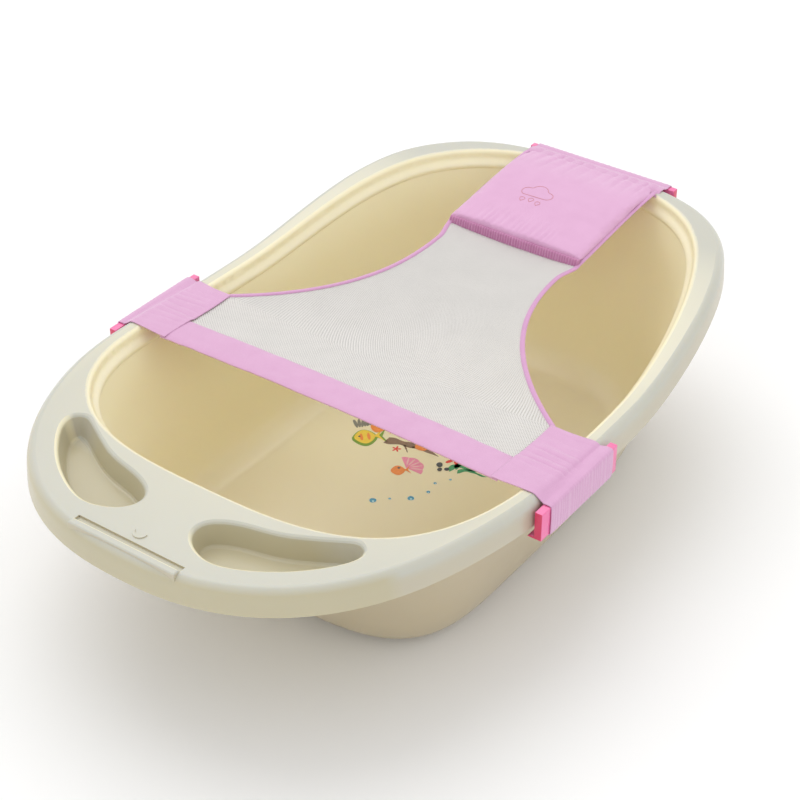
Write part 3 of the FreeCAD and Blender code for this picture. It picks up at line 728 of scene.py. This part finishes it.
def make_head_band():
    """The head cloth: from the pad over the rim and round the head clip."""
    fold_z = rim_z(RIM_OVAL[1]) - CLIP_DROP
    rim_top = rim_z(HEAD_TOP_X) + CLOTH_LIFT
    path = [(PILLOW_X[1] - 6.0, rim_top + 0.4), (PILLOW_X[1], rim_top + 0.6), (400.0, rim_top)]
    for degrees in (0, 15, 30):
        angle = math.radians(degrees)
        path.append((RIM_OVAL[1] - EDGE_RUN + (EDGE_RUN + CLOTH_LIFT) * math.sin(angle),
                     rim_z(HEAD_TOP_X) - EDGE_DROP + (EDGE_DROP + CLOTH_LIFT) * math.cos(angle)))
    line = resample(path + sleeve_path(FOLD_HEAD_X, fold_z), 70)
    rows = []
    for j in range(181):
        y = HEAD_HALF * (2 * j / 180 - 1)
        edge = smoothstep(HEAD_HALF - abs(y), 0.0, 5.0)
        row = []
        wrapped = False
        for out, up in line:
            wrapped = wrapped or out > FOLD_HEAD_X - 0.5
            if wrapped:
                out += edge * (0.3 * math.sin(y * 0.9 + 3.0 * wrinkle(y, 0.0, 20.0, 2.0)) + 0.3)
            else:
                tucked = (1 - smoothstep(out, PILLOW_X[1] - 2.0, 398.0)) * smoothstep(abs(y), 70.0, 84.0)
                flat = 1 - smoothstep(out, 404.0, FOLD_HEAD_X)
                up += edge * flat * head_folds(out, y) - 3.0 * tucked
            row.append((out + SHIFT, y, up))
        rows.append(row)
    piece = thicken(grid_mesh("head_band_cloth", rows), CLOTH_THICK, 1.0)
    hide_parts("head_band", "clip_sleeve_head")
    finish_piece(piece, PINK)
    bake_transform(piece)
    return piece


# ---------------------------------------------------------------- head pad

def pillow_low_z(x):
    """Return the height of the pad's underside at x."""
    start = net_edge_z(228.0) - 1.0
    end = rim_z(HEAD_TOP_X) + 0.4
    return start + (end - start) * smoothstep(x, 171.0, 391.4)


def head_folds(x, y):
    """Return the height of the folds that run off the rim onto the pad."""
    return 3.0 * pleats(y * 0.85, 0.4 * (x - 390.0), 21.0)


def make_pillow():
    """The padded head rest, swollen by a short cloth simulation, then gathered at its ends."""
    low, high = PILLOW_X
    work = bmesh.new()
    rings = []
    steps, around = 32, 60
    for i in range(steps + 1):
        t = i / steps
        x = low + (high - low) * t
        thick = 3.6 + 3.0 * smoothstep(1 - t, 0.0, 0.35) + 1.5 * math.sin(math.pi * t)
        base = pillow_low_z(x) - 2.6 * smoothstep(t, 0.7, 1.0)
        ring = []
        for k in range(around):
            angle = 2 * math.pi * k / around
            side = abs(math.cos(angle)) ** 0.22 * math.copysign(1, math.cos(angle))
            rise = abs(math.sin(angle)) ** 0.5 * math.copysign(1, math.sin(angle))
            crown = 1.2 * (1 - side ** 4) if rise > 0 else 0.0
            z = base + thick * (0.5 + 0.5 * rise) + crown
            ring.append(work.verts.new(Vector((x + SHIFT, (PILLOW_HALF + 0.6) * side, z)) * MM))
        rings.append(ring)
    for a, b in zip(rings, rings[1:]):
        for k in range(around):
            work.faces.new((a[k], a[(k + 1) % around], b[(k + 1) % around], b[k]))
    work.faces.new(rings[0][::-1])
    work.faces.new(rings[-1])
    bmesh.ops.recalc_face_normals(work, faces=work.faces)
    mesh = bpy.data.meshes.new("pillow")
    work.to_mesh(mesh)
    work.free()
    piece = link("pillow_cloth", mesh)
    remesh = piece.modifiers.new("even", "REMESH")
    remesh.mode = "VOXEL"
    remesh.voxel_size = 3.2 * MM
    flatten(piece)
    swell(piece, 2.5 * MM)
    piece.modifiers.new("soften", "SUBSURF").levels = 1
    piece.modifiers["soften"].render_levels = 1
    flatten(piece)
    gather_pillow(piece)
    smooth(piece.data)
    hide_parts("pillow_cover", "pillow_foam")
    finish_piece(piece, pillow_material(), ROOT)
    return piece


def swell(piece, cap):
    """Swell a closed mesh as cloth with air in it, and cap how far a point moves."""
    rest = np.array([v.co for v in piece.data.vertices], float)
    cloth = piece.modifiers.new("cloth", "CLOTH")
    cloth.settings.quality = 5
    cloth.settings.use_pressure = True
    cloth.settings.uniform_pressure_force = 4.0
    cloth.settings.tension_stiffness = 30.0
    cloth.settings.bending_stiffness = 0.3
    cloth.settings.effector_weights.gravity = 0.0
    cloth.point_cache.frame_end = 20
    for step in range(1, 21):
        bpy.context.scene.frame_set(step)
    flatten(piece)
    bpy.context.scene.frame_set(1)
    moved = np.array([v.co for v in piece.data.vertices], float) - rest
    moved[:, :2] = 0.0                      # the tape and the seams hold the pad's outline
    size = np.linalg.norm(moved, axis=1, keepdims=True)
    moved *= np.minimum(1.0, cap / np.maximum(size, 1e-9))
    for vertex, place in zip(piece.data.vertices, rest + moved):
        vertex.co = place


def gather_pillow(piece):
    """Draw the pad in at its lower seam and under the rim cloth, in uneven gathers."""
    low, high = PILLOW_X
    for vertex in piece.data.vertices:
        x, y = vertex.co.x / MM - SHIFT, vertex.co.y / MM
        up = smoothstep(vertex.normal.z, 0.2, 0.8) * smoothstep(PILLOW_HALF - abs(y), 2.0, 12.0)
        near_low = 1 - smoothstep(x, low + 4.0, low + 42.0)
        near_low *= smoothstep(72.0 - abs(y - 10.0), 0.0, 40.0)
        near_high = smoothstep(x, high - 52.0, high - 4.0)
        gather = pleats(y * 1.5, x * 0.2, 33.0)
        soft = wrinkle(x, y, 26.0, 15.0)
        depth = up * (2.2 * near_low * gather + near_high * head_folds(x, y) + 0.35 * soft)
        vertex.co.z += depth * MM


def pillow_material():
    """The pad's cloth, woven along the object's own axes because remeshing drops its map."""
    made, tree, shader = start_material("pillow_pink", Roughness=0.7)
    set_input(shader, "Sheen Weight", 0.45)
    set_input(shader, "Sheen Roughness", 0.45)
    set_input(shader, "Specular IOR Level", 0.35)
    place = node(tree, "TexCoord").outputs["Object"]
    threads = []
    for direction in ("X", "Y"):
        wave = node(tree, "TexWave", {"Vector": place, "Scale": 0.31 / 0.00055, "Distortion": 0.6},
                    bands_direction=direction)
        threads.append(wave.outputs["Fac"])
    weave = node(tree, "Math", {0: threads[0], 1: threads[1]}, operation="MAXIMUM").outputs[0]
    patchy = noise_factor(tree, place, 55.0, 5.0)
    colour = mix_colour(tree, patchy, (0.68, 0.37, 0.58), (0.75, 0.43, 0.65))
    tree.links.new(colour, shader.inputs["Base Color"])
    bump(tree, shader, weave, 0.35, 0.00012)
    return made


def make_pillow_seam():
    """The gathered strip that joins the pad's front to the mesh, in tight upright pleats."""
    rows = []
    count, around = 560, 20
    top = pillow_low_z(PILLOW_X[0]) + 5.6
    for i in range(count + 1):
        y = (PILLOW_HALF - 1.0) * (2 * i / count - 1)
        bottom = net_z(NET_X[1], y / PILLOW_HALF) - 0.4
        pleat = 0.75 * math.sin(y * 1.9 + 1.6 * wrinkle(y, 0.0, 9.0, 1.0))
        ring = []
        for k in range(around):
            angle = 2 * math.pi * k / around
            across = abs(math.cos(angle)) ** 0.6 * math.copysign(1, math.cos(angle))
            rise = abs(math.sin(angle)) ** 0.6 * math.copysign(1, math.sin(angle))
            lean = 1.2 * (rise + 1)
            ring.append((NET_X[1] + SHIFT + 0.2 + lean + (2.1 + pleat * (across < 0)) * across, y,
                         (top + bottom) / 2 + (top - bottom) / 2 * rise))
        rows.append(ring)
    piece = grid_mesh("pillow_seam_ruffle", rows, closed=True)
    close_ends(piece, around)
    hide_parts("pillow_seam")
    return finish_piece(piece, RUFFLE, ROOT)


def cloud_outline():
    """Return the outline of a small cloud with a flat base, about 40 wide, from its middle."""
    points = []
    for centre, radius, start, end in (((-12.0, 0.0), 7.0, 250, 80), ((0.0, 6.0), 9.5, 165, 20),
                                       ((13.0, 1.0), 6.5, 95, -85)):
        for step in range(17):
            angle = math.radians(start + (end - start) * step / 16)
            points.append((centre[0] + radius * math.cos(angle), centre[1] + radius * math.sin(angle)))
    return points + points[:1]


def drop_outline(across, up, size):
    """Return the outline of a falling drop."""
    points = []
    for step in range(21):
        angle = 2 * math.pi * step / 20
        points.append((across + size * 0.55 * math.sin(angle) * math.sin(angle / 2),
                       up - size * math.cos(angle) / 2))
    return points


def make_motif(pillow):
    """A small cloud with three drops, embroidered on the pad in thin salmon thread."""
    tree = bvhtree.BVHTree.FromObject(pillow, bpy.context.evaluated_depsgraph_get())
    outlines = [cloud_outline()]
    for across in (-10.0, 0.0, 10.0):
        outlines.append(drop_outline(across, -13.0 - 2.5 * abs(across) / 10, 7.0))
    for index, outline in enumerate(outlines):
        line = []
        for across, up in outline:
            x, y = 303.0 + up + SHIFT, 18.0 - across
            hit = tree.ray_cast(Vector((x, y, 400.0)) * MM, Vector((0.0, 0.0, -1.0)))[0]
            line.append((x, y, hit.z / MM + 0.12))
        stitch_row("motif_line_%d" % index, line, 1.25, ROOT, SALMON, 0.32, 1.5)


# ---------------------------------------------------------------- print on the basin floor

def star_outline(x, y, size, turn):
    """Return a plump five-armed star."""
    points = []
    for step in range(40):
        angle = 2 * math.pi * step / 40
        reach = size * (0.62 + 0.38 * math.cos(5 * angle))
        points.append((x + reach * math.cos(angle + turn), y + reach * math.sin(angle + turn)))
    return points


def fish_outline(x, y, size, turn):
    """Return a fish with an oval body and a forked tail, nose first."""
    points = []
    for step in range(33):
        t = step / 32
        wide = 0.34 * math.sin(math.pi * min(t / 0.72, 1.0)) ** 0.8 + 0.05
        wide = wide if t < 0.72 else 0.05 + 0.30 * ((t - 0.72) / 0.28) ** 1.3
        points.append((0.5 - t, wide))
    outline = points + [(-0.36, 0.0)] + [(a, -b) for a, b in reversed(points)]
    c, s = math.cos(turn), math.sin(turn)
    return [(x + size * (a * c - b * s), y + size * (a * s + b * c)) for a, b in outline]


def disc_outline(x, y, size, stretch=1.0, turn=0.0):
    """Return an oval, slightly uneven as printed ink is."""
    points = []
    for step in range(36):
        angle = 2 * math.pi * step / 36
        reach = size * (1 + 0.04 * math.sin(3 * angle + x))
        a, b = reach * stretch * math.cos(angle), reach * math.sin(angle)
        points.append((x + a * math.cos(turn) - b * math.sin(turn),
                       y + a * math.sin(turn) + b * math.cos(turn)))
    return points


def shell_outline(x, y, size, turn):
    """Return a fan shell with a scalloped edge."""
    points = [(x, y)]
    for step in range(49):
        angle = math.radians(-70 + 140 * step / 48)
        reach = size * (0.93 + 0.07 * abs(math.sin(angle * 4.1)))
        points.append((x + reach * math.cos(angle + turn), y + reach * math.sin(angle + turn)))
    return points


def weed_outline(x, y, length, turn, wave):
    """Return one waving blade of seaweed, wide at its foot."""
    left, right = [], []
    for step in range(25):
        t = step / 24
        sway = 0.12 * length * math.sin(t * wave)
        wide = 0.09 * length * (1 - t) ** 0.6 * (1 + 0.25 * math.sin(t * 18))
        left.append((t * length, sway + wide))
        right.append((t * length, sway - wide))
    c, s = math.cos(turn), math.sin(turn)
    return [(x + a * c - b * s, y + a * s + b * c) for a, b in left + right[::-1]]


def print_shapes(name, colour, outlines, height=0.12):
    """Lay filled outlines of one colour on the basin floor, as a thin film of ink."""
    work = bmesh.new()
    for outline in outlines:
        ring = [work.verts.new(Vector((x + SHIFT, y, FLOOR_TOP + height)) * MM) for x, y in outline]
        work.faces.new(ring)
    bmesh.ops.recalc_face_normals(work, faces=work.faces)
    bmesh.ops.triangulate(work, faces=work.faces)
    for face in work.faces:
        if face.normal.z < 0:
            face.normal_flip()
    mesh = bpy.data.meshes.new("print_" + name)
    work.to_mesh(mesh)
    work.free()
    piece = link("print_" + name, mesh)
    solid = piece.modifiers.new("film", "SOLIDIFY")
    solid.thickness = 0.1 * MM
    flatten(piece)
    return finish_piece(piece, print_material(name, colour), ROOT)


def make_print():
    """The cheerful sea scene on the floor: fish, stars, a shell, weed and bubbles."""
    bubbles = [(-15, 13, 3.8), (-2, 0, 1.5), (12, -18, 3.6),
               (32, -27, 2.1), (49, -24, 1.7), (64, -34, 1.4)]
    glints = [disc_outline(x - s * 0.3, y - s * 0.3, s * 0.35) for x, y, s in bubbles]
    print_shapes("blue", (0.05, 0.32, 0.55), [disc_outline(*b) for b in bubbles])
    print_shapes("pale_blue", (0.45, 0.72, 0.85), glints, 0.22)
    print_shapes("leaf_green", (0.16, 0.32, 0.02), [
        fish_outline(75, 84, 40, 2.35), fish_outline(142, 40, 40, 0.6)])
    print_shapes("yellow", (0.85, 0.58, 0.04), [
        fish_outline(76, 86, 33, 2.35), fish_outline(143, 41, 32, 0.6)], 0.22)
    print_shapes("grey_fins", (0.20, 0.20, 0.17), [
        disc_outline(87 + 3 * k, 113 - 3 * k, 2.0, 4.0, 0.9 - 0.18 * k) for k in range(6)])
    stripes = [disc_outline(x, y, 6.5, 0.28, turn) for x, y, turn in
               ((70, 92, 2.35), (76, 86, 2.35), (140, 39, 0.6), (148, 44, 0.6))]
    print_shapes("orange", (0.85, 0.24, 0.03), stripes + [
        fish_outline(98, 25, 22, 2.6), fish_outline(46, 20, 22, 2.3),
        fish_outline(98, 84, 26, 1.9), fish_outline(128, 96, 24, 2.2)], 0.32)
    print_shapes("red", (0.72, 0.03, 0.02), [
        star_outline(75, 47, 5.5, 0.3), star_outline(97, -17, 12.0, 0.2),
        star_outline(150, -16, 9.0, 0.7), star_outline(118, 62, 5.5, 0.1)])
    print_shapes("pink_shell", (0.80, 0.25, 0.42), [
        shell_outline(53, 18, 20, -0.35), shell_outline(128, -44, 18, 0.5)])
    ribs = [disc_outline(53 + 12 * math.cos(a), 18 + 12 * math.sin(a), 6.5, 0.14, a + math.pi / 2)
            for a in (-1.15, -0.75, -0.35, 0.05, 0.45)]
    print_shapes("shell_ribs", (0.88, 0.48, 0.52), ribs, 0.22)
    print_shapes("coral_brown", (0.22, 0.13, 0.08), [
        weed_outline(82, 66, 66, -1.52, 2.4), weed_outline(86, 44, 15, -2.4, 1.5),
        weed_outline(87, 34, 14, -0.6, 1.2)])
    print_shapes("sea_green", (0.03, 0.30, 0.12), [
        weed_outline(78, -22, 44, -0.85, 7.0), weed_outline(80, -32, 34, -1.1, 5.0),
        weed_outline(84, -26, 36, -0.6, 6.0),
        weed_outline(94, -34, 26, -0.3, 6.0), weed_outline(124, -6, 28, 0.5, 6.0)])
    print_shapes("dark_grey", (0.04, 0.05, 0.06), [
        disc_outline(79, -9, 3.4, 1.3, 0.6), disc_outline(72, -14, 2.6, 1.2, 0.2),
        disc_outline(77, -20, 2.8),
        disc_outline(69.5, 94.5, 1.3), disc_outline(152, 46, 1.6), disc_outline(48, 24, 1.6)], 0.42)


# ---------------------------------------------------------------- floor, light and camera

def make_stage():
    """A pale floor, an even pale surround and a large soft light from above and behind."""
    size = 30.0
    mesh = bpy.data.meshes.new("floor")
    corners = [(-size, -size, 0), (size, -size, 0), (size, size, 0), (-size, size, 0)]
    mesh.from_pydata(corners, [], [(0, 1, 2, 3)])
    floor = link("floor", mesh)
    made, tree, shader = start_material("pale_floor", Roughness=0.9)
    place = node(tree, "TexCoord").outputs["Object"]
    tone = mix_colour(tree, noise_factor(tree, place, 3.0), (0.93, 0.93, 0.93), (0.96, 0.96, 0.96))
    tree.links.new(tone, shader.inputs["Base Color"])
    floor.data.materials.append(made)
    world = bpy.data.worlds.new("studio")
    bpy.context.scene.world = world
    world.use_nodes = True
    world.node_tree.nodes["Background"].inputs["Color"].default_value = (1.0, 1.0, 1.0, 1.0)
    world.node_tree.nodes["Background"].inputs["Strength"].default_value = WORLD_LIGHT
    lamp = bpy.data.lights.new("overhead", "SUN")
    lamp.energy = SUN_LIGHT
    lamp.angle = math.radians(SUN_SPREAD)
    light = bpy.data.objects.new("overhead", lamp)
    light.rotation_euler = Vector(SUN_TO).to_track_quat("-Z", "Y").to_euler()
    bpy.context.scene.collection.objects.link(light)


def make_camera():
    """The camera, aimed at the tub from its foot corner."""
    azimuth, elevation = math.radians(CAMERA_AZIMUTH), math.radians(CAMERA_ELEVATION)
    back = Vector((math.sin(azimuth) * math.cos(elevation), -math.cos(azimuth) * math.cos(elevation),
                   math.sin(elevation)))
    lens = bpy.data.cameras.new("camera")
    lens.lens = CAMERA_LENS
    lens.clip_end = 50.0
    camera = bpy.data.objects.new("camera", lens)
    camera.location = Vector(CAMERA_TARGET) + back * CAMERA_DISTANCE
    camera.rotation_euler = (-back).to_track_quat("-Z", "Y").to_euler()
    bpy.context.scene.collection.objects.link(camera)
    bpy.context.scene.camera = camera
    bpy.context.scene.view_settings.view_transform = "Standard"


make_stage()
make_camera()
make_hard_parts()
make_print()
net_piece = make_net_mesh()
hem_piece, hem_stitches = make_hem()
for band_side, band_name in ((1, "left"), (-1, "right")):
    make_binding(band_side, band_name)
    band = make_side_band(band_side, band_name)
head_piece = make_head_band()
pillow_piece = make_pillow()
make_pillow_seam()
make_motif(pillow_piece)
